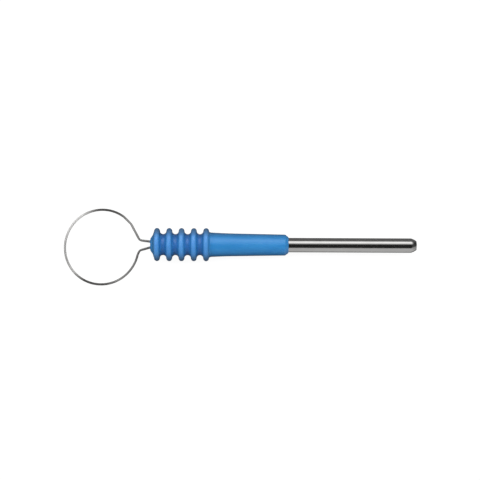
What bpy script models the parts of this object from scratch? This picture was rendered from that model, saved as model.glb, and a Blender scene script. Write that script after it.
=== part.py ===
"""Electrosurgical loop electrode: a round wire loop held in a ribbed insulating hub on a straight contact shaft.

Frame: metres. +X runs along the shaft towards its rear end, where the origin is, at the centre of the flat
end face. The loop lies in the XY plane and +Z is the normal to that plane.
"""

import math

import bmesh
import bpy

MM = 0.001

# ---- driving dimensions, in millimetres ----
SHAFT_DIAMETER = 2.38  # 3/32 inch, the standard electrode shaft
SHAFT_FRONT_X = -41.66  # front end, hidden in the hub
SHAFT_END_ROUND_X = 0.90  # how far the rounded rear end runs along the shaft
SHAFT_END_ROUND_R = 0.46  # and how far it comes in
SHAFT_END_POWER = 1.2  # 1 is a plain chamfer and 2 an ellipse: this is a chamfer with softened edges
SHAFT_BORE_DIAMETER = 1.16  # blind bore for the crimp ferrule
SHAFT_BORE_DEPTH = 7.0
SHAFT_BORE_MOUTH = 0.12  # chamfer at the mouth of the bore
SHAFT_FRONT_CHAMFER = 0.15
GROOVE_CENTRES_X = (-37.6, -28.4)  # ring grooves that key the hub to the shaft
GROOVE_WIDTH = 0.90
GROOVE_DEPTH = 0.18
GROOVE_RUNOUT = 0.12

HUB_FRONT_X = -44.13
HUB_REAR_X = -21.24
NOSE_ROOT = (-43.74, 1.58)  # where the nose cone meets the first rib's front flank
NOSE_FRONT_R = 1.00  # radius at which the cone would meet the front face
NOSE_ROOT_BEND = 0.22
NOSE_FRONT_BEND = 0.20
RIB_COUNT = 5
RIB_FIRST_X = -43.045
RIB_PITCH = 2.039
RIB_RADIUS = 2.73
VALLEY_RADIUS = 1.725
RIB_TIP_SHARE = 0.46  # share of each rib's half wave that belongs to its rounded tip
SLEEVE_FRONT_X = -33.95  # just behind the last rib
SLEEVE_REAR_X = -21.78  # where the taper would meet the rear bevel
SLEEVE_REAR_RADIUS = 1.72
SLEEVE_TAPER = 0.01768  # radius gained per millimetre towards the ribs
SLEEVE_FLARE = 0.05  # the sleeve flares a little as it nears the last rib,
SLEEVE_FLARE_X = -30.90  # from here on,
SLEEVE_FLARE_RUN = 2.4  # and reaches its full flare over this length
SHOULDER_RADIUS = 1.315  # outer edge of the small flat rear face
SHOULDER_BEND = 0.35  # rounds the corner between taper and bevel

LOOP_CENTRE = (-52.21, -0.46)
LOOP_RADIUS = 6.15  # centre line; about 12.7 (1/2 inch) over the wire
LOOP_OVAL = 0.07  # the hand-formed ring is faintly oval,
LOOP_OVAL_DEG = 63.0  # longest along this direction
LOOP_KINK_DEG = 38.5  # where the wire leaves the ring on the +Y side
LOOP_LEAVE_DEG = -12.0  # and on the -Y side
WIRE_DIAMETER = 0.38  # 0.015 inch
NECK_UPPER = (-45.91, 0.695)  # corners where the loop turns into its two legs
NECK_LOWER = (-45.92, -0.995)
NECK_UPPER_BEND = 0.75
NECK_LOWER_BEND = 0.65
KINK_BEND = 1.2
LEG_EXIT_Y = 0.475  # half the legs' spacing at the hub's nose
LEG_INNER_Y = 0.205  # half their spacing in the ferrule
LEG_INNER_X = -41.60
LEG_END_X = -36.00

FERRULE_FRONT_X = -41.45
FERRULE_REAR_X = -35.45
FERRULE_DIAMETER = 1.10
FERRULE_BORE_DIAMETER = 0.86
FERRULE_CRIMPS_X = (-39.9, -37.0)  # two crimped waists
FERRULE_CRIMP_DEPTH = 0.05
FERRULE_CRIMP_WIDTH = 0.90

FIT_GAP = 0.03  # clearance kept between neighbouring solids

ROUND_STEPS = 32
FERRULE_STEPS = 24
LOOP_STEP_DEG = 5.0


# ---- scene ----
def clear_scene():
    for obj in list(bpy.data.objects):
        bpy.data.objects.remove(obj, do_unlink=True)


def new_collection(name, hidden=False):
    collection = bpy.data.collections.new(name)
    bpy.context.scene.collection.children.link(collection)
    collection.hide_render = hidden
    return collection


def new_material(name, colour, roughness, metallic):
    material = bpy.data.materials.new(name)
    material.use_nodes = True
    shader = material.node_tree.nodes["Principled BSDF"]
    shader.inputs["Base Color"].default_value = (*colour, 1.0)
    shader.inputs["Roughness"].default_value = roughness
    shader.inputs["Metallic"].default_value = metallic
    material.diffuse_color = (*colour, 1.0)
    return material


# ---- outlines: lists of points in millimetres. In a turned profile they are (axial position, radius) ----
def arc(cx, cr, radius, start_deg, end_deg, steps):
    """Points on a circle in the profile plane; 0 degrees points along +X and 90 outwards."""
    points = []
    for i in range(steps + 1):
        a = math.radians(start_deg + (end_deg - start_deg) * i / steps)
        points.append((cx + radius * math.cos(a), cr + radius * math.sin(a)))
    return points


def filleted(corners, radii, step_deg):
    """A polyline with each inner corner replaced by an arc of the given radius (0 keeps the corner)."""
    path = [corners[0]]
    for i in range(1, len(corners) - 1):
        (ax, ay), (bx, by), (cx, cy) = corners[i - 1], corners[i], corners[i + 1]
        in_angle = math.atan2(by - ay, bx - ax)
        out_angle = math.atan2(cy - by, cx - bx)
        turn = (out_angle - in_angle + math.pi) % (2 * math.pi) - math.pi
        radius = radii[i]
        if radius <= 0 or abs(turn) < 1e-6:
            path.append((bx, by))
            continue
        cut = radius * math.tan(abs(turn) / 2)
        limit = 0.49 * min(math.hypot(bx - ax, by - ay), math.hypot(cx - bx, cy - by))
        if cut > limit:
            radius *= limit / cut
            cut = limit
        sx, sy = bx - cut * math.cos(in_angle), by - cut * math.sin(in_angle)
        side = 1.0 if turn > 0 else -1.0
        ox = sx - side * radius * math.sin(in_angle)
        oy = sy + side * radius * math.cos(in_angle)
        count = max(2, math.ceil(math.degrees(abs(turn)) / step_deg))
        for k in range(count + 1):
            a = in_angle + turn * k / count
            path.append((ox + side * radius * math.sin(a), oy - side * radius * math.cos(a)))
    path.append(corners[-1])
    return path


def rounded_end(x_end, r_flat, run, rise, power, steps):
    """A rounded rear corner, from the flat end face outwards and forwards to the full radius."""
    points = []
    for i in range(steps + 1):
        a = 0.5 * math.pi * i / steps
        along = math.cos(a) ** (2.0 / power)
        out = math.sin(a) ** (2.0 / power)
        points.append((x_end - run + run * along, r_flat + rise * out))
    return points


def groove_points(centre, radius, depth, width, runout):
    """A shallow ring groove, from its rear edge to its front edge."""
    half = width / 2
    return [
        (centre + half, radius),
        (centre + half - runout, radius - depth),
        (centre - half + runout, radius - depth),
        (centre - half, radius),
    ]


def shaft_outline():
    radius = SHAFT_DIAMETER / 2
    points = rounded_end(
        0.0, radius - SHAFT_END_ROUND_R, SHAFT_END_ROUND_X, SHAFT_END_ROUND_R, SHAFT_END_POWER, 6
    )
    for centre in sorted(GROOVE_CENTRES_X, reverse=True):
        points += groove_points(centre, radius, GROOVE_DEPTH, GROOVE_WIDTH, GROOVE_RUNOUT)
    points += [
        (SHAFT_FRONT_X + SHAFT_FRONT_CHAMFER, radius),
        (SHAFT_FRONT_X, radius - SHAFT_FRONT_CHAMFER),
    ]
    return points


def shaft_profile():
    """Rear end face, down the outside to the front, and back up the blind bore to its drilled cone."""
    bore = SHAFT_BORE_DIAMETER / 2
    bottom = SHAFT_FRONT_X + SHAFT_BORE_DEPTH
    return (
        [(0.0, 0.0)]
        + shaft_outline()
        + [
            (SHAFT_FRONT_X, bore + SHAFT_BORE_MOUTH),
            (SHAFT_FRONT_X + SHAFT_BORE_MOUTH, bore),
            (bottom, bore),
            (bottom + bore / math.tan(math.radians(59)), 0.0),
        ]
    )


def hub_cavity():
    """The space that the shaft fills, from the axis at the front wall up to the rear face."""
    grown = [(x, r + FIT_GAP) for x, r in shaft_outline() if HUB_REAR_X > x]
    front = SHAFT_FRONT_X - FIT_GAP
    radius = SHAFT_DIAMETER / 2 + FIT_GAP
    corner = [(front, 0.0), (front, radius - SHAFT_FRONT_CHAMFER), (front + SHAFT_FRONT_CHAMFER, radius)]
    grooves = [p for p in reversed(grown) if p[0] > front + 2 * SHAFT_FRONT_CHAMFER]
    return corner + grooves + [(HUB_REAR_X, radius)]


def wave_arcs():
    """Tip radius, valley radius and half angle of the ribs' wave, which is made of arcs only."""
    height = RIB_RADIUS - VALLEY_RADIUS
    half_pitch = RIB_PITCH / 2
    angle = 2 * math.atan2(height, half_pitch)
    total = half_pitch / math.sin(angle)
    return total * RIB_TIP_SHARE, total * (1 - RIB_TIP_SHARE), math.degrees(angle)


def hub_ribs():
    """The ribs and valleys from the rear flank of the last rib to the front flank of the first."""
    tip, valley, angle = wave_arcs()
    points = []
    for i in reversed(range(RIB_COUNT)):
        centre = RIB_FIRST_X + i * RIB_PITCH
        points += arc(centre, RIB_RADIUS - tip, tip, 90 - angle, 90 + angle, 6)
        if i:
            floor = arc(centre - RIB_PITCH / 2, VALLEY_RADIUS + valley, valley, -90 + angle, -90 - angle, 6)
            points += floor[1:-1]
    return points


def sleeve_radius(x):
    near_ribs = max(0.0, SLEEVE_FLARE_X - x) / SLEEVE_FLARE_RUN
    return SLEEVE_REAR_RADIUS + SLEEVE_TAPER * (SLEEVE_REAR_X - x) + SLEEVE_FLARE * near_ribs**1.5


def hub_profile():
    tip, valley, angle = wave_arcs()
    last_x = RIB_FIRST_X + (RIB_COUNT - 1) * RIB_PITCH

    # a bevel with a rounded outer corner closes the rear end, down to a small flat round the shaft
    rear = filleted(
        [
            (HUB_REAR_X, SHOULDER_RADIUS),
            (SLEEVE_REAR_X, SLEEVE_REAR_RADIUS),
            (SLEEVE_REAR_X - 2.0, sleeve_radius(SLEEVE_REAR_X - 2.0)),
        ],
        [0, SHOULDER_BEND, 0],
        12,
    )[:-1]
    taper = []
    for i in range(1, 9):
        x = SLEEVE_REAR_X + (SLEEVE_FRONT_X - SLEEVE_REAR_X) * i / 9
        taper.append((x, sleeve_radius(x)))
    # a fillet joins the sleeve to the last rib's rear flank
    flank_x = last_x + tip * math.sin(math.radians(angle))
    flank_r = RIB_RADIUS - tip + tip * math.cos(math.radians(angle))
    front_r = sleeve_radius(SLEEVE_FRONT_X)
    run = SLEEVE_FRONT_X - flank_x
    rise = flank_r - front_r
    fillet = []
    for i in range(0, 5):
        a = math.radians(90 * i / 5)
        fillet.append((SLEEVE_FRONT_X - run * math.sin(a), front_r + rise * (1 - math.cos(a))))

    # the nose is a blunt cone with a rounded front edge, and it meets the first rib's front flank low down
    flank_top = arc(RIB_FIRST_X, RIB_RADIUS - tip, tip, 90, 90 + angle, 1)[-1]
    nose = filleted(
        [flank_top, NOSE_ROOT, (HUB_FRONT_X, NOSE_FRONT_R), (HUB_FRONT_X, 0.0)],
        [0, NOSE_ROOT_BEND, NOSE_FRONT_BEND, 0],
        18,
    )[1:]
    return hub_cavity() + rear + taper + fillet + hub_ribs() + nose


def ferrule_profile():
    outer = FERRULE_DIAMETER / 2
    inner = FERRULE_BORE_DIAMETER / 2
    lip = 0.06
    points = [(FERRULE_REAR_X, outer - lip), (FERRULE_REAR_X - lip, outer)]
    for centre in sorted(FERRULE_CRIMPS_X, reverse=True):
        points += groove_points(centre, outer, FERRULE_CRIMP_DEPTH, FERRULE_CRIMP_WIDTH, 0.2)
    points += [
        (FERRULE_FRONT_X + lip, outer),
        (FERRULE_FRONT_X, outer - lip),
        (FERRULE_FRONT_X, inner),
        (FERRULE_REAR_X, inner),
    ]
    return points


def turned(name, profile, steps, material, collection, closed=False):
    """A turned piece: its profile stands in the local XZ plane and a Screw modifier spins it about local Z, which lies along world +X."""
    mesh = bpy.data.meshes.new(name)
    bm = bmesh.new()
    verts = [bm.verts.new((r * MM, 0.0, x * MM)) for x, r in profile]
    for a, b in zip(verts, verts[1:]):
        bm.edges.new((a, b))
    if closed:
        bm.edges.new((verts[-1], verts[0]))
    bm.to_mesh(mesh)
    bm.free()
    mesh.materials.append(material)
    obj = bpy.data.objects.new(name, mesh)
    obj.rotation_euler = (0.0, math.pi / 2, 0.0)
    collection.objects.link(obj)
    screw = obj.modifiers.new("Turn", "SCREW")
    screw.axis = "Z"
    screw.angle = 2 * math.pi
    screw.steps = steps
    screw.render_steps = steps
    screw.use_merge_vertices = True
    screw.merge_threshold = 1e-6
    screw.use_smooth_shade = True
    return obj


# ---- wire ----
def loop_point(degrees):
    a = math.radians(degrees)
    radius = LOOP_RADIUS + LOOP_OVAL * math.cos(2 * math.radians(degrees - LOOP_OVAL_DEG))
    return (LOOP_CENTRE[0] + radius * math.cos(a), LOOP_CENTRE[1] + radius * math.sin(a))


def wire_path():
    """The wire's centre line: one leg, round the loop, and back along the other leg."""
    kink = loop_point(LOOP_KINK_DEG)
    leave = loop_point(LOOP_LEAVE_DEG)
    upper_corners = [
        (LEG_END_X, LEG_INNER_Y),
        (LEG_INNER_X, LEG_INNER_Y),
        (HUB_FRONT_X, LEG_EXIT_Y),
        NECK_UPPER,
        kink,
        loop_point(LOOP_KINK_DEG + 3 * LOOP_STEP_DEG),
    ]
    upper = filleted(upper_corners, [0, 2.0, 1.0, NECK_UPPER_BEND, KINK_BEND, 0], 14)
    start = LOOP_KINK_DEG + 3 * LOOP_STEP_DEG
    sweep = 360.0 + LOOP_LEAVE_DEG - start
    count = round(sweep / LOOP_STEP_DEG)
    ring = [loop_point(start + sweep * i / count) for i in range(1, count)]
    lower_corners = [
        loop_point(LOOP_LEAVE_DEG - LOOP_STEP_DEG),
        leave,
        NECK_LOWER,
        (HUB_FRONT_X, -LEG_EXIT_Y),
        (LEG_INNER_X, -LEG_INNER_Y),
        (LEG_END_X, -LEG_INNER_Y),
    ]
    lower = filleted(lower_corners, [0, 1.5, NECK_LOWER_BEND, 1.0, 2.0, 0], 14)
    return upper + ring + lower[1:]


def wire_curve(name, path, radius, collection, material=None):
    curve = bpy.data.curves.new(name, "CURVE")
    curve.dimensions = "3D"
    curve.bevel_depth = radius * MM
    curve.bevel_resolution = 2
    curve.use_fill_caps = True
    spline = curve.splines.new("POLY")
    spline.points.add(len(path) - 1)
    for point, (x, y) in zip(spline.points, path):
        point.co = (x * MM, y * MM, 0.0, 1.0)
    spline.use_smooth = True
    if material:
        curve.materials.append(material)
    obj = bpy.data.objects.new(name, curve)
    collection.objects.link(obj)
    return obj


def as_mesh(curve_object):
    """The curve as a mesh object whose end caps are welded, ready to be a cutter."""
    name = curve_object.name
    graph = bpy.context.evaluated_depsgraph_get()
    mesh = bpy.data.meshes.new_from_object(curve_object.evaluated_get(graph))
    bm = bmesh.new()
    bm.from_mesh(mesh)
    bmesh.ops.remove_doubles(bm, verts=bm.verts, dist=1e-7)
    bmesh.ops.recalc_face_normals(bm, faces=bm.faces)
    bm.to_mesh(mesh)
    bm.free()
    matrix = curve_object.matrix_world.copy()
    collections = list(curve_object.users_collection)
    bpy.data.objects.remove(curve_object, do_unlink=True)
    obj = bpy.data.objects.new(name + "_mesh", mesh)
    obj.matrix_world = matrix
    for collection in collections:
        collection.objects.link(obj)
    return obj


def leg_channel(side, cutters):
    """The cutter for one wire's channel through the hub's front wall, a little wider than the wire."""
    corner_y = side * LEG_EXIT_Y
    neck = NECK_UPPER if side > 0 else NECK_LOWER
    t = 0.6
    outside = (HUB_FRONT_X + (neck[0] - HUB_FRONT_X) * t, corner_y + (neck[1] - corner_y) * t)
    path = filleted(
        [(LEG_INNER_X + 0.2, side * LEG_INNER_Y), (LEG_INNER_X, side * LEG_INNER_Y), (HUB_FRONT_X, corner_y), outside],
        [0, 0, 1.0, 0],
        14,
    )
    name = "channel_cutter_upper" if side > 0 else "channel_cutter_lower"
    cutter = wire_curve(name, path, WIRE_DIAMETER / 2 + FIT_GAP, cutters)
    bpy.context.view_layer.update()
    cutter = as_mesh(cutter)
    cutter.hide_render = True
    cutter.display_type = "WIRE"
    return cutter


def build():
    clear_scene()
    pieces = new_collection("electrosurgical_loop_electrode")
    cutters = new_collection("cutters", hidden=True)

    hub_blue = new_material("hub_plastic", (0.06, 0.27, 0.60), 0.38, 0.0)
    shaft_steel = new_material("shaft_steel", (0.62, 0.61, 0.60), 0.16, 1.0)
    loop_metal = new_material("loop_wire_metal", (0.50, 0.48, 0.46), 0.30, 1.0)
    ferrule_steel = new_material("ferrule_steel", (0.58, 0.57, 0.55), 0.35, 1.0)

    root = bpy.data.objects.new("electrode_root", None)
    root.empty_display_size = 0.004
    pieces.objects.link(root)

    shaft = turned("contact_shaft", shaft_profile(), ROUND_STEPS, shaft_steel, pieces)
    hub = turned("insulating_hub", hub_profile(), ROUND_STEPS, hub_blue, pieces)
    ferrule = turned("crimp_ferrule", ferrule_profile(), FERRULE_STEPS, ferrule_steel, pieces, closed=True)
    loop = wire_curve("wire_loop", wire_path(), WIRE_DIAMETER / 2, pieces, loop_metal)

    for side in (1, -1):
        cutter = leg_channel(side, cutters)
        cut = hub.modifiers.new("Channel", "BOOLEAN")
        cut.operation = "DIFFERENCE"
        cut.solver = "EXACT"
        cut.object = cutter

    for piece in (shaft, hub, ferrule, loop):
        piece.parent = root


build()
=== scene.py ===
"""Looks of the electrosurgical loop electrode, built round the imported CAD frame.

Every length below is in millimetres in the row frame (+X along the shaft towards its rear end, the loop in the XY
plane) and is turned into metres when a mesh is made.
"""

import math

import bmesh
import bpy
import numpy as np
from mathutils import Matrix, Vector


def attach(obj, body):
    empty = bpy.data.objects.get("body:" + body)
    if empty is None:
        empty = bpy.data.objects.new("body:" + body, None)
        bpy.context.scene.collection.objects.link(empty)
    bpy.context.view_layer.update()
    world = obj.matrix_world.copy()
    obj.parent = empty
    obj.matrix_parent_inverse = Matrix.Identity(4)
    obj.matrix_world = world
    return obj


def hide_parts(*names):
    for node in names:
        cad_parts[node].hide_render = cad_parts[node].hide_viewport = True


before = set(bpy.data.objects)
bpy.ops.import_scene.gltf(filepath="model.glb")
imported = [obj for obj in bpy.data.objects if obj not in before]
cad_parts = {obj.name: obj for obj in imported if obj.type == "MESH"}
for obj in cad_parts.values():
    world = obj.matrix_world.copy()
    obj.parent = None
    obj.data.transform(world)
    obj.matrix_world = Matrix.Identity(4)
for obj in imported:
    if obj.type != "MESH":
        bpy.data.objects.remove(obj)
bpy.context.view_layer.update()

MM = 0.001
TAU = 2 * math.pi

# ---- the CAD's own sizes, repeated from part.py ----
SHAFT_R = 1.19
SHAFT_FRONT_X = -41.66
SHAFT_END_ROUND_X = 0.90
SHAFT_END_ROUND_R = 0.46
SHAFT_END_POWER = 1.2
SHAFT_BORE_R = 0.58
SHAFT_BORE_DEPTH = 7.0
GROOVES_X = (-28.4, -37.6)
GROOVE_WIDTH, GROOVE_DEPTH, GROOVE_RUNOUT = 0.90, 0.18, 0.12

HUB_FRONT_X, HUB_REAR_X = -44.13, -21.24
NOSE_ROOT = (-43.74, 1.58)
NOSE_FRONT_R = 1.00
NOSE_ROOT_BEND, NOSE_FRONT_BEND = 0.22, 0.20
RIB_COUNT, RIB_FIRST_X, RIB_PITCH = 5, -43.045, 2.039
RIB_RADIUS, VALLEY_RADIUS, RIB_TIP_SHARE = 2.73, 1.725, 0.46
SLEEVE_FRONT_X, SLEEVE_REAR_X, SLEEVE_REAR_R = -33.95, -21.78, 1.72
SLEEVE_TAPER = 0.01768
SLEEVE_FLARE, SLEEVE_FLARE_X, SLEEVE_FLARE_RUN = 0.05, -30.90, 2.4
SHOULDER_R, SHOULDER_BEND = 1.315, 0.35

LOOP_CENTRE = (-52.21, -0.46)
LOOP_RADIUS = 6.15
LOOP_OVAL, LOOP_OVAL_DEG = 0.07, 63.0
LOOP_KINK_DEG, LOOP_LEAVE_DEG = 38.5, -12.0
WIRE_R = 0.19
NECK_UPPER, NECK_LOWER = (-45.91, 0.695), (-45.92, -0.995)
NECK_UPPER_BEND, NECK_LOWER_BEND, KINK_BEND = 0.75, 0.65, 1.2
LEG_EXIT_Y, LEG_INNER_Y = 0.475, 0.205
LEG_INNER_X, LEG_END_X = -41.60, -36.00
GAP = 0.03


# ---- outline helpers ----
def arc(cx, cr, radius, start_deg, end_deg, steps):
    out = []
    for i in range(steps + 1):
        a = math.radians(start_deg + (end_deg - start_deg) * i / steps)
        out.append((cx + radius * math.cos(a), cr + radius * math.sin(a)))
    return out


def filleted(corners, radii, step_deg):
    """A polyline with its inner corners rounded to the given radii."""
    path = [corners[0]]
    for i in range(1, len(corners) - 1):
        (ax, ay), (bx, by), (cx, cy) = corners[i - 1], corners[i], corners[i + 1]
        a_in = math.atan2(by - ay, bx - ax)
        a_out = math.atan2(cy - by, cx - bx)
        turn = (a_out - a_in + math.pi) % TAU - math.pi
        radius = radii[i]
        if radius <= 0 or abs(turn) < 1e-6:
            path.append((bx, by))
            continue
        cut = radius * math.tan(abs(turn) / 2)
        limit = 0.49 * min(math.hypot(bx - ax, by - ay), math.hypot(cx - bx, cy - by))
        if cut > limit:
            radius *= limit / cut
            cut = limit
        sx, sy = bx - cut * math.cos(a_in), by - cut * math.sin(a_in)
        side = 1.0 if turn > 0 else -1.0
        ox, oy = sx - side * radius * math.sin(a_in), sy + side * radius * math.cos(a_in)
        count = max(2, math.ceil(math.degrees(abs(turn)) / step_deg))
        for k in range(count + 1):
            a = a_in + turn * k / count
            path.append((ox + side * radius * math.sin(a), oy - side * radius * math.cos(a)))
    path.append(corners[-1])
    return path


def resampled(path, spacing):
    """The polyline with extra points, so that no step is longer than spacing. Its own corners stay."""
    out = [path[0]]
    for (ax, ay), (bx, by) in zip(path, path[1:]):
        n = max(1, math.ceil(math.hypot(bx - ax, by - ay) / spacing))
        out += [(ax + (bx - ax) * k / n, ay + (by - ay) * k / n) for k in range(1, n + 1)]
    return out


def rounded_end(x_end, r_flat, run, rise, power, steps):
    out = []
    for i in range(steps + 1):
        a = 0.5 * math.pi * i / steps
        out.append((x_end - run + run * math.cos(a) ** (2 / power), r_flat + rise * math.sin(a) ** (2 / power)))
    return out


def smooth(a, b, x):
    t = np.clip((x - a) / (b - a), 0.0, 1.0)
    return t * t * (3 - 2 * t)


def value_noise(p, seed):
    """Smooth repeatable noise from a few sine waves in fixed directions, about -1 to 1."""
    rng = np.random.default_rng(seed)
    total = np.zeros(len(p))
    for _ in range(7):
        d = rng.normal(size=3)
        d /= np.linalg.norm(d)
        total += np.sin(p @ d * rng.uniform(0.6, 1.6) + rng.uniform(0, TAU))
    return total / 3.5


# ---- mesh helpers ----
def revolve(profile, segments):
    """Vertices and faces of a turned solid round the X axis. The profile runs from one point on the axis to another, or is closed if it has none there."""
    verts, faces, rows = [], [], []
    for x, r in profile:
        if r < 1e-9:
            rows.append([len(verts)])
            verts.append((x, 0.0, 0.0))
        else:
            first = len(verts)
            rows.append(list(range(first, first + segments)))
            for k in range(segments):
                a = TAU * k / segments
                verts.append((x, r * math.cos(a), r * math.sin(a)))
    pairs = list(zip(rows, rows[1:]))
    if profile[0][1] > 1e-9 and profile[-1][1] > 1e-9:
        pairs.append((rows[-1], rows[0]))
    for a, b in pairs:
        for k in range(segments):
            n = (k + 1) % segments
            if len(a) == 1:
                faces.append((a[0], b[n], b[k]))
            elif len(b) == 1:
                faces.append((a[k], a[n], b[0]))
            else:
                faces.append((a[k], a[n], b[n], b[k]))
    return np.array(verts), faces


def make_piece(name, verts, faces, material, slot, sharp_deg=40):
    mesh = bpy.data.meshes.new(name)
    mesh.from_pydata([tuple(v * MM) for v in np.asarray(verts, float)], [], faces)
    bm = bmesh.new()
    bm.from_mesh(mesh)
    bmesh.ops.recalc_face_normals(bm, faces=bm.faces)
    bm.to_mesh(mesh)
    bm.free()
    mesh.materials.append(material)
    mesh.shade_smooth()
    mesh.set_sharp_from_angle(angle=math.radians(sharp_deg))
    obj = bpy.data.objects.new(name, mesh)
    bpy.context.scene.collection.objects.link(obj)
    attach(obj, "root")
    return obj


# ---- the wire's centre line ----
def loop_point(degrees):
    a = math.radians(degrees)
    radius = LOOP_RADIUS + LOOP_OVAL * math.cos(2 * math.radians(degrees - LOOP_OVAL_DEG))
    return (LOOP_CENTRE[0] + radius * math.cos(a), LOOP_CENTRE[1] + radius * math.sin(a))


def wire_path():
    kink_next = LOOP_KINK_DEG + 15.0
    upper = filleted(
        [
            (LEG_END_X, LEG_INNER_Y),
            (LEG_INNER_X, LEG_INNER_Y),
            (HUB_FRONT_X, LEG_EXIT_Y),
            NECK_UPPER,
            loop_point(LOOP_KINK_DEG),
            loop_point(kink_next),
        ],
        [0, 2.0, 1.0, NECK_UPPER_BEND, KINK_BEND, 0],
        4,
    )
    sweep = 360.0 + LOOP_LEAVE_DEG - kink_next
    count = round(sweep / 1.25)
    ring = [loop_point(kink_next + sweep * i / count) for i in range(1, count)]
    lower = filleted(
        [
            loop_point(LOOP_LEAVE_DEG - 1.25),
            loop_point(LOOP_LEAVE_DEG),
            NECK_LOWER,
            (HUB_FRONT_X, -LEG_EXIT_Y),
            (LEG_INNER_X, -LEG_INNER_Y),
            (LEG_END_X, -LEG_INNER_Y),
        ],
        [0, 1.5, NECK_LOWER_BEND, 1.0, 2.0, 0],
        4,
    )
    return resampled(upper + ring + lower[1:], 0.22)


def tube(path, radius_of, sides, wobble=None, caps=True):
    """A swept tube along a path in the XY plane. radius_of(i, n) gives its half width in the plane and across it."""
    p = np.array(path, float)
    n = len(p)
    tangent = np.zeros_like(p)
    tangent[1:-1] = p[2:] - p[:-2]
    tangent[0], tangent[-1] = p[1] - p[0], p[-1] - p[-2]
    tangent /= np.linalg.norm(tangent, axis=1)[:, None]
    normal = np.stack([-tangent[:, 1], tangent[:, 0]], 1)
    verts = np.zeros((n * sides, 3))
    for i in range(n):
        wide, high = radius_of(i, n)
        lift = 0.0 if wobble is None else wobble(p[i])
        for k in range(sides):
            a = TAU * k / sides
            out = math.cos(a) * wide
            verts[i * sides + k] = (p[i, 0] + normal[i, 0] * out, p[i, 1] + normal[i, 1] * out, math.sin(a) * high + lift)
    faces = []
    for i in range(n - 1):
        for k in range(sides):
            m = (k + 1) % sides
            faces.append((i * sides + k, i * sides + m, (i + 1) * sides + m, (i + 1) * sides + k))
    if caps:
        faces.append(tuple(range(sides - 1, -1, -1)))
        faces.append(tuple((n - 1) * sides + k for k in range(sides)))
    return verts, faces


def bend_at(path):
    """How sharply the path bends at each point, in 1/mm."""
    p = np.array(path, float)
    bend = np.zeros(len(p))
    for i in range(1, len(p) - 1):
        a, b = p[i] - p[i - 1], p[i + 1] - p[i]
        turn = math.atan2(a[0] * b[1] - a[1] * b[0], float(a @ b))
        bend[i] = turn / (0.5 * (np.linalg.norm(a) + np.linalg.norm(b)))
    return bend


# ---- profiles ----
def groove(centre, radius):
    half = GROOVE_WIDTH / 2
    return [
        (centre + half, radius),
        (centre + half - GROOVE_RUNOUT, radius - GROOVE_DEPTH),
        (centre - half + GROOVE_RUNOUT, radius - GROOVE_DEPTH),
        (centre - half, radius),
    ]


def shaft_profile():
    end = rounded_end(0.0, SHAFT_R - SHAFT_END_ROUND_R, SHAFT_END_ROUND_X, SHAFT_END_ROUND_R, SHAFT_END_POWER, 28)
    face = [(0.0, 0.0), (0.0, 0.2), (0.0, 0.4), (0.0, 0.52)]
    body = [(-0.8 - 20.4 * k / 24, SHAFT_R) for k in range(1, 25)]
    out = face + end + body
    for centre in GROOVES_X:
        out += groove(centre, SHAFT_R)
    bottom = SHAFT_FRONT_X + SHAFT_BORE_DEPTH
    out += [
        (SHAFT_FRONT_X + 0.15, SHAFT_R),
        (SHAFT_FRONT_X, SHAFT_R - 0.15),
        (SHAFT_FRONT_X, SHAFT_BORE_R + 0.12),
        (SHAFT_FRONT_X + 0.12, SHAFT_BORE_R),
        (bottom, SHAFT_BORE_R),
        (bottom + SHAFT_BORE_R / math.tan(math.radians(59)), 0.0),
    ]
    return out


def sleeve_radius(x):
    near_ribs = max(0.0, SLEEVE_FLARE_X - x) / SLEEVE_FLARE_RUN
    return SLEEVE_REAR_R + SLEEVE_TAPER * (SLEEVE_REAR_X - x) + SLEEVE_FLARE * near_ribs**1.5


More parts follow.
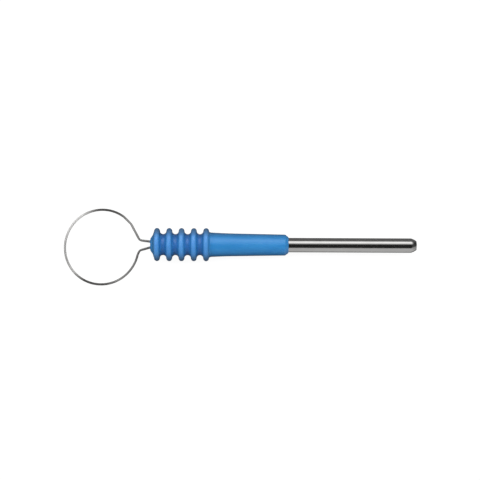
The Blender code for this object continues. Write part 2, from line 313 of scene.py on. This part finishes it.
def hub_profile():
    """From the axis inside the front wall, along the bore to the rear, and forward along the outside to the nose."""
    height, half_pitch = RIB_RADIUS - VALLEY_RADIUS, RIB_PITCH / 2
    angle = 2 * math.atan2(height, half_pitch)
    total = half_pitch / math.sin(angle)
    tip, valley, deg = total * RIB_TIP_SHARE, total * (1 - RIB_TIP_SHARE), math.degrees(angle)
    bore = SHAFT_R + GAP

    front = SHAFT_FRONT_X - GAP
    cavity = [(front, 0.0), (front, bore - 0.15), (front + 0.15, bore)]
    for centre in reversed(GROOVES_X):
        cavity += list(reversed(groove(centre, bore)))
    cavity += [(HUB_REAR_X - 0.02, bore), (HUB_REAR_X, bore + 0.015)]

    rear = filleted(
        [
            (HUB_REAR_X, SHOULDER_R),
            (SLEEVE_REAR_X, SLEEVE_REAR_R),
            (SLEEVE_REAR_X - 2.0, sleeve_radius(SLEEVE_REAR_X - 2.0)),
        ],
        [0, SHOULDER_BEND, 0],
        3,
    )[:-1]
    rear = filleted([(HUB_REAR_X, SHAFT_R + GAP + 0.015)] + rear[:2], [0, 0.025, 0], 15)[1:-1] + rear[1:]
    rear = resampled(rear, 0.06)
    taper = []
    for i in range(1, 56):
        x = rear[-1][0] + (SLEEVE_FRONT_X - rear[-1][0]) * i / 56
        taper.append((x, sleeve_radius(x)))
    last_x = RIB_FIRST_X + (RIB_COUNT - 1) * RIB_PITCH
    flank_x = last_x + tip * math.sin(angle)
    flank_r = RIB_RADIUS - tip + tip * math.cos(angle)
    front_r = sleeve_radius(SLEEVE_FRONT_X)
    run, rise = SLEEVE_FRONT_X - flank_x, flank_r - front_r
    fillet = [
        (SLEEVE_FRONT_X - run * math.sin(a), front_r + rise * (1 - math.cos(a)))
        for a in (math.radians(90 * i / 14) for i in range(14))
    ]
    ribs = []
    for i in reversed(range(RIB_COUNT)):
        centre = RIB_FIRST_X + i * RIB_PITCH
        ribs += arc(centre, RIB_RADIUS - tip, tip, 90 - deg, 90 + deg, 22)
        if i:
            ribs += arc(centre - half_pitch, VALLEY_RADIUS + valley, valley, -90 + deg, -90 - deg, 22)[1:-1]
    flank_top = arc(RIB_FIRST_X, RIB_RADIUS - tip, tip, 90, 90 + deg, 1)[-1]
    nose = filleted(
        [flank_top, NOSE_ROOT, (HUB_FRONT_X, NOSE_FRONT_R), (HUB_FRONT_X, 0.0)], [0, NOSE_ROOT_BEND, NOSE_FRONT_BEND, 0], 5
    )[1:]
    nose = resampled(nose, 0.045)
    return cavity + rear + taper + fillet + ribs + nose


# ---- materials ----
class Nodes:
    """A small helper for building a node tree."""

    def __init__(self, name):
        self.material = bpy.data.materials.new(name)
        self.material.use_nodes = True
        self.tree = self.material.node_tree
        self.shader = self.tree.nodes["Principled BSDF"]
        self.place = self.new("ShaderNodeTexCoord").outputs["Object"]

    def new(self, kind, **props):
        node = self.tree.nodes.new(kind)
        for key, value in props.items():
            setattr(node, key, value)
        return node

    def link(self, a, b):
        self.tree.links.new(a, b)

    def mapped(self, scale, source=None):
        """Object coordinates in units of 1/scale millimetres along each axis."""
        node = self.new("ShaderNodeMapping")
        node.inputs["Scale"].default_value = [s / MM for s in scale]
        self.link(source or self.place, node.inputs["Vector"])
        return node.outputs["Vector"]

    def noise(self, vector, scale=1.0, detail=2.0, rough=0.5):
        node = self.new("ShaderNodeTexNoise")
        node.inputs["Scale"].default_value = scale
        node.inputs["Detail"].default_value = detail
        node.inputs["Roughness"].default_value = rough
        self.link(vector, node.inputs["Vector"])
        return node.outputs["Fac"]

    def math(self, operation, a, b=None, c=None, clamp=False):
        node = self.new("ShaderNodeMath", operation=operation, use_clamp=clamp)
        for i, value in enumerate((a, b, c)):
            if value is None:
                continue
            if isinstance(value, (int, float)):
                node.inputs[i].default_value = value
            else:
                self.link(value, node.inputs[i])
        return node.outputs[0]

    def fit(self, value, a, b, c, d, smooth_step=False):
        node = self.new("ShaderNodeMapRange")
        if smooth_step:
            node.interpolation_type = "SMOOTHSTEP"
        for i, x in enumerate((a, b, c, d)):
            node.inputs[i + 1].default_value = x
        self.link(value, node.inputs[0])
        return node.outputs[0]

    def mix(self, factor, a, b):
        node = self.new("ShaderNodeMix", data_type="RGBA")
        self.link(factor, node.inputs[0])
        for socket, value in ((node.inputs[6], a), (node.inputs[7], b)):
            if isinstance(value, tuple):
                socket.default_value = (*value, 1.0)
            else:
                self.link(value, socket)
        return node.outputs[2]

    def bump(self, height, strength, distance_mm, normal=None):
        node = self.new("ShaderNodeBump")
        node.inputs["Strength"].default_value = strength
        node.inputs["Distance"].default_value = distance_mm * MM
        self.link(height, node.inputs["Height"])
        if normal:
            self.link(normal, node.inputs["Normal"])
        return node.outputs["Normal"]

    def radius(self):
        """Distance from the X axis, in metres."""
        split = self.new("ShaderNodeSeparateXYZ")
        self.link(self.place, split.inputs[0])
        y2 = self.math("MULTIPLY", split.outputs[1], split.outputs[1])
        total = self.math("MULTIPLY_ADD", split.outputs[2], split.outputs[2], y2)
        return self.math("SQRT", total), split


def hub_material():
    n = Nodes("hub_blue_polypropylene")
    radius, split = n.radius()
    flow = n.noise(n.mapped((0.22, 0.9, 0.9)), detail=3.0, rough=0.55)
    grain = n.noise(n.mapped((9.0, 9.0, 9.0)), detail=2.0)
    speck = n.noise(n.mapped((2.6, 2.6, 2.6)), detail=4.0, rough=0.6)
    base = n.mix(n.fit(flow, 0.32, 0.68, 0.0, 1.0), (0.020, 0.205, 0.510), (0.032, 0.238, 0.560))
    # painted shade: the valleys between the ribs are painted a deeper blue, as shade falls there
    valley_shade = n.fit(radius, 1.75 * MM, 2.20 * MM, 0.9, 0.0, True)
    valley_shade = n.math("MULTIPLY", valley_shade, n.fit(split.outputs[0], -34.6 * MM, -34.1 * MM, 1.0, 0.0))
    valley_shade = n.math("MULTIPLY", valley_shade, n.fit(split.outputs[0], -43.2 * MM, -42.8 * MM, 0.0, 1.0))
    base = n.mix(valley_shade, base, (0.030, 0.148, 0.430))
    # painted highlight: the thin rib tips are painted paler, partly also the light that the thin plastic lets
    # through
    crest_highlight = n.fit(radius, 2.25 * MM, 2.72 * MM, 0.0, 0.75, True)
    base = n.mix(crest_highlight, base, (0.085, 0.290, 0.680))
    # painted shade: both sides of the hub, and the rib tips most, are painted duller and darker, more so along the
    # +Y side
    side_shade = n.fit(split.outputs[1], 1.15 * MM, 2.35 * MM, 0.0, 0.78, True)
    side_shade = n.math("ADD", side_shade, n.fit(split.outputs[1], -2.50 * MM, -1.35 * MM, 0.72, 0.0, True))
    side_shade = n.math("MULTIPLY", side_shade, n.fit(speck, 0.25, 0.60, 1.0, 0.75))
    base = n.mix(side_shade, base, (0.070, 0.125, 0.185))
    base = n.mix(n.fit(speck, 0.42, 0.62, 0.0, 0.16), base, (0.022, 0.180, 0.480))
    n.link(base, n.shader.inputs["Base Color"])
    rough = n.math("MULTIPLY_ADD", speck, 0.10, 0.30)
    rough = n.math("MULTIPLY_ADD", grain, 0.06, rough)
    n.link(rough, n.shader.inputs["Roughness"])
    normal = n.bump(grain, 0.35, 0.004)
    normal = n.bump(flow, 0.30, 0.030, normal)
    n.link(normal, n.shader.inputs["Normal"])
    n.shader.inputs["IOR"].default_value = 1.49
    n.shader.inputs["Specular IOR Level"].default_value = 1.25
    n.shader.inputs["Subsurface Weight"].default_value = 0.12
    n.shader.inputs["Subsurface Radius"].default_value = (0.25, 0.55, 1.0)
    n.shader.inputs["Subsurface Scale"].default_value = 0.45 * MM
    return n.material


def shaft_material():
    n = Nodes("shaft_polished_steel")
    radius, split = n.radius()
    turn = n.math("ARCTAN2", split.outputs[2], split.outputs[1])
    around = n.new("ShaderNodeCombineXYZ")
    n.link(split.outputs[0], around.inputs[0])
    n.link(n.math("MULTIPLY", turn, 1.19 * MM), around.inputs[1])
    n.link(radius, around.inputs[2])
    rings = n.noise(n.mapped((26.0, 0.35, 9.0), around.outputs[0]), detail=3.0, rough=0.6)
    broad = n.noise(n.mapped((0.8, 0.7, 0.7)), detail=3.0, rough=0.55)
    scratch = n.noise(n.mapped((0.25, 34.0, 34.0)), detail=2.0)
    scratch = n.fit(scratch, 0.66, 0.74, 0.0, 1.0)
    base = n.mix(n.fit(broad, 0.3, 0.7, 0.0, 1.0), (0.640, 0.632, 0.622), (0.690, 0.684, 0.676))
    base = n.mix(n.math("MULTIPLY", scratch, 0.35), base, (0.74, 0.735, 0.73))
    n.link(base, n.shader.inputs["Base Color"])
    n.shader.inputs["Metallic"].default_value = 1.0
    rough = n.math("MULTIPLY_ADD", rings, 0.10, 0.075)
    rough = n.math("MULTIPLY_ADD", broad, 0.05, rough)
    rough = n.math("MULTIPLY_ADD", scratch, 0.12, rough)
    n.link(rough, n.shader.inputs["Roughness"])
    normal = n.bump(rings, 0.30, 0.0012)
    normal = n.bump(scratch, 0.20, 0.0010, normal)
    n.link(normal, n.shader.inputs["Normal"])
    return n.material


def wire_material():
    n = Nodes("loop_drawn_tungsten")
    place = n.mapped((1.0, 1.0, 1.0))
    split = n.new("ShaderNodeSeparateXYZ")
    n.link(place, split.inputs[0])
    dx = n.math("SUBTRACT", split.outputs[0], LOOP_CENTRE[0])
    dy = n.math("SUBTRACT", split.outputs[1], LOOP_CENTRE[1])
    turn = n.math("ARCTAN2", dy, dx)
    ring = n.math("SQRT", n.math("MULTIPLY_ADD", dx, dx, n.math("MULTIPLY", dy, dy)))
    lines = n.new("ShaderNodeCombineXYZ")
    n.link(n.math("MULTIPLY", turn, 0.9), lines.inputs[0])
    n.link(n.math("MULTIPLY", ring, 42.0), lines.inputs[1])
    n.link(n.math("MULTIPLY", split.outputs[2], 42.0), lines.inputs[2])
    drawn = n.noise(lines.outputs[0], detail=2.0)
    tint = n.noise(n.mapped((0.35, 0.35, 0.35)), detail=3.0, rough=0.6)
    pits = n.noise(n.mapped((11.0, 11.0, 11.0)), detail=3.0, rough=0.65)
    # painted reflection: the far half of the ring is painted paler, fading towards the hub; the rest keeps the
    # darker base tone
    lobes = n.math("COSINE", n.math("MULTIPLY", n.math("SUBTRACT", turn, math.radians(170.0)), 2.0))
    pale_reflection = n.fit(lobes, -1.0, -0.05, 0.0, 1.0, True)
    away = n.math("COSINE", n.math("SUBTRACT", turn, math.radians(150.0)))
    pale_reflection = n.math("MULTIPLY", pale_reflection, n.math("MULTIPLY_ADD", away, 0.33, 0.60))
    # painted reflection: a darker dip in the painted paleness near 187 degrees
    stain_and_dim_reflection = n.math("COSINE", n.math("SUBTRACT", turn, math.radians(187.0)))
    pale_reflection = n.math("SUBTRACT", pale_reflection, n.fit(stain_and_dim_reflection, 0.84, 0.99, 0.0, 0.30, True))
    pale_reflection = n.math("MULTIPLY_ADD", n.math("SUBTRACT", tint, 0.5), 0.25, pale_reflection)
    pale_reflection = n.math("MULTIPLY", pale_reflection, n.fit(split.outputs[0], -46.9, -46.0, 1.0, 0.55), clamp=True)
    base = n.mix(n.fit(tint, 0.35, 0.65, 0.0, 1.0), (0.084, 0.081, 0.078), (0.112, 0.108, 0.104))
    base = n.mix(pale_reflection, base, (0.960, 0.950, 0.935))
    base = n.mix(n.fit(pits, 0.50, 0.66, 0.0, 0.15), base, (0.115, 0.110, 0.106))
    n.link(base, n.shader.inputs["Base Color"])
    n.shader.inputs["Metallic"].default_value = 0.55
    rough = n.math("MULTIPLY_ADD", drawn, 0.10, 0.30)
    rough = n.math("MULTIPLY_ADD", pits, 0.10, rough)
    n.link(rough, n.shader.inputs["Roughness"])
    normal = n.bump(drawn, 0.25, 0.0012)
    normal = n.bump(pits, 0.15, 0.0010, normal)
    n.link(normal, n.shader.inputs["Normal"])
    return n.material


def ferrule_material():
    n = Nodes("ferrule_annealed_steel")
    rings = n.noise(n.mapped((16.0, 0.4, 0.4)), detail=2.0)
    stain_and_dim_reflection = n.noise(n.mapped((1.4, 1.4, 1.4)), detail=3.0)
    base = n.mix(n.fit(stain_and_dim_reflection, 0.3, 0.7, 0.0, 1.0), (0.50, 0.485, 0.46), (0.60, 0.59, 0.575))
    n.link(base, n.shader.inputs["Base Color"])
    n.shader.inputs["Metallic"].default_value = 1.0
    n.link(n.math("MULTIPLY_ADD", rings, 0.20, 0.25), n.shader.inputs["Roughness"])
    n.link(n.bump(rings, 0.3, 0.002), n.shader.inputs["Normal"])
    return n.material


# ---- pieces ----
path = wire_path()
bends = bend_at(path)


def wire_section(i, n):
    """The wire is round, and pinched a little where it is bent hard."""
    pinch = min(0.09, 0.055 * abs(bends[max(0, i - 1) : i + 2]).max())
    if path[i][0] > HUB_FRONT_X:
        pinch = 0.0
    return WIRE_R * (1 - pinch), WIRE_R * (1 + 0.4 * pinch)


def wire_wobble(p):
    """A hand-formed loop isn't quite flat. It starts outside the hub."""
    out = smooth(0.0, 4.0, HUB_FRONT_X - 0.6 - p[0])
    return float(out) * 0.035 * math.sin(1.9 * math.atan2(p[1] - LOOP_CENTRE[1], p[0] - LOOP_CENTRE[0]) + 0.6)


wire = make_piece("loop_wire", *tube(path, wire_section, 20, wire_wobble), wire_material(), "loop_wire", 50)
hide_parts("wire_loop")

shaft = make_piece("shaft_pin", *revolve(shaft_profile(), 112), shaft_material(), "shaft_steel", 40)
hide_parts("contact_shaft")


def hub_mesh():
    verts, faces = revolve(hub_profile(), 128)
    x, y, z = verts.T
    r = np.hypot(y, z)
    a = np.arctan2(z, y)
    outer = (r > SHOULDER_R) | (x < SHAFT_FRONT_X - 0.2)
    out = np.zeros(len(verts))
    # the mould's parting line: a faint raised seam along both sides, in the loop's plane
    seam = np.minimum(np.abs(a), math.pi - np.abs(a)) * r
    out += 0.012 * np.exp(-((seam / 0.035) ** 2)) * smooth(0.9, 1.5, r)
    # moulded surfaces are never quite true
    out += 0.006 * value_noise(verts * np.array([0.9, 1.3, 1.3]), 3)
    out = np.where(outer, out, 0.0)
    unit_y, unit_z = np.where(r > 1e-6, y / np.maximum(r, 1e-6), 0), np.where(r > 1e-6, z / np.maximum(r, 1e-6), 0)
    verts[:, 1] += unit_y * out
    verts[:, 2] += unit_z * out
    # the plastic creeps a little way up each leg of the wire
    front = x < SHAFT_FRONT_X - 0.3
    for side in (1, -1):
        d = np.hypot(y - side * LEG_EXIT_Y, z)
        lift = 0.10 * np.exp(-((np.maximum(d - WIRE_R, 0) / 0.11) ** 1.5))
        verts[:, 0] -= np.where(front, lift, 0.0)
    return verts, faces


hub = make_piece("hub_moulding", *hub_mesh(), hub_material(), "hub_plastic", 60)
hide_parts("insulating_hub")

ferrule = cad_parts["crimp_ferrule"]
ferrule.data.materials.clear()
ferrule.data.materials.append(ferrule_material())

# ---- stage: floor, light, camera ----
FLOOR_Z = -2.745


def plain_floor():
    mesh = bpy.data.meshes.new("floor")
    half = 3.0
    mesh.from_pydata(
        [(-half, -half, FLOOR_Z * MM), (half, -half, FLOOR_Z * MM), (half, half, FLOOR_Z * MM), (-half, half, FLOOR_Z * MM)],
        [],
        [(0, 1, 2, 3)],
    )
    material = bpy.data.materials.new("floor_white")
    material.use_nodes = True
    tree = material.node_tree
    tree.nodes.clear()
    out = tree.nodes.new("ShaderNodeOutputMaterial")
    paper = tree.nodes.new("ShaderNodeBsdfDiffuse")
    paper.inputs["Color"].default_value = (0.10, 0.10, 0.10, 1)
    glow = tree.nodes.new("ShaderNodeEmission")
    rays = tree.nodes.new("ShaderNodeLightPath")
    # the paper is evenly white, and only near the object is it dim enough to show a faint contact shadow
    place = tree.nodes.new("ShaderNodeTexCoord")
    away = tree.nodes.new("ShaderNodeVectorMath")
    away.operation = "LENGTH"
    tree.links.new(place.outputs["Object"], away.inputs[0])
    level = tree.nodes.new("ShaderNodeMapRange")
    level.interpolation_type = "SMOOTHSTEP"
    for i, value in enumerate((0.10, 0.50, 0.94, 1.10)):
        level.inputs[i + 1].default_value = value
    tree.links.new(away.outputs["Value"], level.inputs[0])
    lit = tree.nodes.new("ShaderNodeMath")
    lit.operation = "MULTIPLY"
    tree.links.new(rays.outputs["Is Camera Ray"], lit.inputs[0])
    tree.links.new(level.outputs[0], lit.inputs[1])
    tree.links.new(lit.outputs[0], glow.inputs["Strength"])
    glow.inputs["Color"].default_value = (1.0, 1.0, 1.0, 1)
    add = tree.nodes.new("ShaderNodeAddShader")
    tree.links.new(paper.outputs[0], add.inputs[0])
    tree.links.new(glow.outputs[0], add.inputs[1])
    tree.links.new(add.outputs[0], out.inputs[0])
    mesh.materials.append(material)
    obj = bpy.data.objects.new("floor", mesh)
    obj.visible_glossy = False
    bpy.context.scene.collection.objects.link(obj)


plain_floor()


def studio_world():
    """What the polished surfaces mirror: a softbox along the +Y side, a dark ceiling overhead, pale surroundings to
    the -Y side and darkness past the shaft's end. Levels go by the angle from straight up, positive towards +Y. Matt
    surfaces see only a dim even room, because an area light of their own lights them."""
    world = bpy.data.worlds.new("studio")
    bpy.context.scene.world = world
    world.use_nodes = True
    world.cycles.sampling_method = "NONE"
    tree = world.node_tree
    tree.nodes.clear()

    def new(kind, **props):
        node = tree.nodes.new(kind)
        for key, value in props.items():
            setattr(node, key, value)
        return node

    coord = new("ShaderNodeTexCoord")
    split = new("ShaderNodeSeparateXYZ")
    tree.links.new(coord.outputs["Generated"], split.inputs[0])
    angle = new("ShaderNodeMath", operation="ARCTAN2")
    tree.links.new(split.outputs[1], angle.inputs[0])
    tree.links.new(split.outputs[2], angle.inputs[1])
    share = new("ShaderNodeMapRange")
    share.inputs[1].default_value, share.inputs[2].default_value = -math.pi, math.pi
    tree.links.new(angle.outputs[0], share.inputs[0])

    def levels(stops, peak):
        ramp = new("ShaderNodeValToRGB")
        ramp.color_ramp.interpolation = "EASE"
        elements = ramp.color_ramp.elements
        for i, (deg, value) in enumerate(stops):
            place = (deg + 180) / 360
            e = elements[i] if i < 2 else elements.new(place)
            e.position = place
            e.color = (value / peak, value / peak, value / peak, 1)
        tree.links.new(share.outputs[0], ramp.inputs[0])
        scaled = new("ShaderNodeMath", operation="MULTIPLY")
        tree.links.new(ramp.outputs[0], scaled.inputs[0])
        scaled.inputs[1].default_value = peak
        return scaled.outputs[0]

    def ease(value, a, b):
        node = new("ShaderNodeMapRange", interpolation_type="SMOOTHSTEP")
        node.inputs[1].default_value, node.inputs[2].default_value = a, b
        tree.links.new(value, node.inputs[0])
        return node.outputs[0]

    def blend(factor, a, b):
        node = new("ShaderNodeMix", data_type="FLOAT")
        tree.links.new(factor, node.inputs[0])
        for socket, value in ((node.inputs[2], a), (node.inputs[3], b)):
            if isinstance(value, float):
                socket.default_value = value
            else:
                tree.links.new(value, socket)
        return node.outputs[0]

    across = levels(ACROSS, 2.0)
    shaft_end = levels(SHAFT_END, 2.0)
    loop_end = levels(LOOP_END, 2.0)
    level = blend(ease(split.outputs[0], 0.57, 0.80), across, shaft_end)
    toward_loop = new("ShaderNodeMath", operation="MULTIPLY")
    tree.links.new(split.outputs[0], toward_loop.inputs[0])
    toward_loop.inputs[1].default_value = -1.0
    level = blend(ease(toward_loop.outputs[0], 0.48, 0.82), level, loop_end)

    rays = new("ShaderNodeLightPath")
    level = blend(rays.outputs["Is Diffuse Ray"], level, ROOM_LEVEL)
    level = blend(rays.outputs["Is Camera Ray"], level, 1.1)
    background = new("ShaderNodeBackground")
    tree.links.new(level, background.inputs["Strength"])
    background.inputs["Color"].default_value = (1, 1, 1, 1)
    out = new("ShaderNodeOutputWorld")
    tree.links.new(background.outputs[0], out.inputs[0])


ACROSS = [
    (-180, 0.05),
    (-142, 0.06),
    (-120, 0.55),
    (-52, 0.55),
    (-40, 0.02),
    (8, 0.02),
    (46, 1.32),
    (58, 1.30),
    (71, 0.15),
    (130, 0.14),
    (180, 0.05),
]
SHAFT_END = [(-180, 0.75), (-140, 0.60), (-118, 0.36), (-55, 0.36), (-22, 0.08), (60, 0.03), (118, 0.05), (140, 0.55), (180, 0.75)]
LOOP_END = [(-180, 0.15), (-90, 0.22), (-30, 0.25), (20, 0.45), (75, 0.50), (110, 0.25), (180, 0.15)]
ROOM_LEVEL = 0.20

studio_world()


def key_light():
    """The big overhead light for matt surfaces. It isn't mirrored, so the bands above stay unspoilt."""
    data = bpy.data.lights.new("key", "AREA")
    data.shape = "RECTANGLE"
    data.size, data.size_y = 0.90, 0.08
    data.energy = KEY_POWER
    light = bpy.data.objects.new("key", data)
    light.location = (-0.029, KEY_Y, 0.24)
    aim = Vector((-0.029, 0.0, 0.0)) - light.location
    light.rotation_euler = aim.to_track_quat("-Z", "Y").to_euler()
    light.visible_glossy = False
    light.visible_camera = False
    bpy.context.scene.collection.objects.link(light)


KEY_POWER, KEY_Y = 1.54, 0.062
key_light()


def fill_light():
    """A long weak strip low down on the -Y side, so that the undersides of the ribs don't go black."""
    data = bpy.data.lights.new("fill", "AREA")
    data.shape = "RECTANGLE"
    data.size, data.size_y = 0.90, 0.06
    data.energy = FILL_POWER
    light = bpy.data.objects.new("fill", data)
    light.location = (-0.029, -0.20, 0.05)
    aim = Vector((-0.029, 0.0, 0.0)) - light.location
    light.rotation_euler = aim.to_track_quat("-Z", "Y").to_euler()
    light.visible_glossy = False
    light.visible_camera = False
    bpy.context.scene.collection.objects.link(light)


FILL_POWER = 0.11
fill_light()


def dark_card():
    """A dark card close beside the hub, on the -Y side, that only reflections see. It keeps the pale wall that the
    steel shaft mirrors out of the plastic's lower edge."""
    mesh = bpy.data.meshes.new("card")
    x0, x1, y, z0, z1 = -45.6, -21.4, -5.0, -14.0, 7.0
    corners = [(x0, y, z0), (x1, y, z0), (x1, y, z1), (x0, y, z1)]
    mesh.from_pydata([tuple(c * MM for c in corner) for corner in corners], [], [(0, 1, 2, 3)])
    material = bpy.data.materials.new("card_dark")
    material.use_nodes = True
    tree = material.node_tree
    tree.nodes.clear()
    cloth = tree.nodes.new("ShaderNodeEmission")
    cloth.inputs["Color"].default_value = (1.0, 1.0, 1.0, 1)
    cloth.inputs["Strength"].default_value = 0.09
    out = tree.nodes.new("ShaderNodeOutputMaterial")
    tree.links.new(cloth.outputs[0], out.inputs[0])
    mesh.materials.append(material)
    obj = bpy.data.objects.new("card", mesh)
    obj.visible_camera = False
    obj.visible_diffuse = False
    obj.visible_shadow = False
    bpy.context.scene.collection.objects.link(obj)


dark_card()


def camera():
    data = bpy.data.cameras.new("camera")
    data.lens = 110.0
    data.sensor_width = 36.0
    data.clip_start, data.clip_end = 0.01, 20.0
    cam = bpy.data.objects.new("camera", data)
    bpy.context.scene.collection.objects.link(cam)
    width = 480 * 0.166  # millimetres across the picture at the loop's plane
    distance = width * data.lens / data.sensor_width
    cam.location = (-29.269 * MM, 0.810 * MM, distance * MM)
    cam.rotation_euler = (0.0, 0.0, 0.0042)
    bpy.context.scene.camera = cam


camera()

view = bpy.context.scene.view_settings
view.view_transform = "Standard"
view.look = "None"
view.exposure = 0.0
view.gamma = 1.0
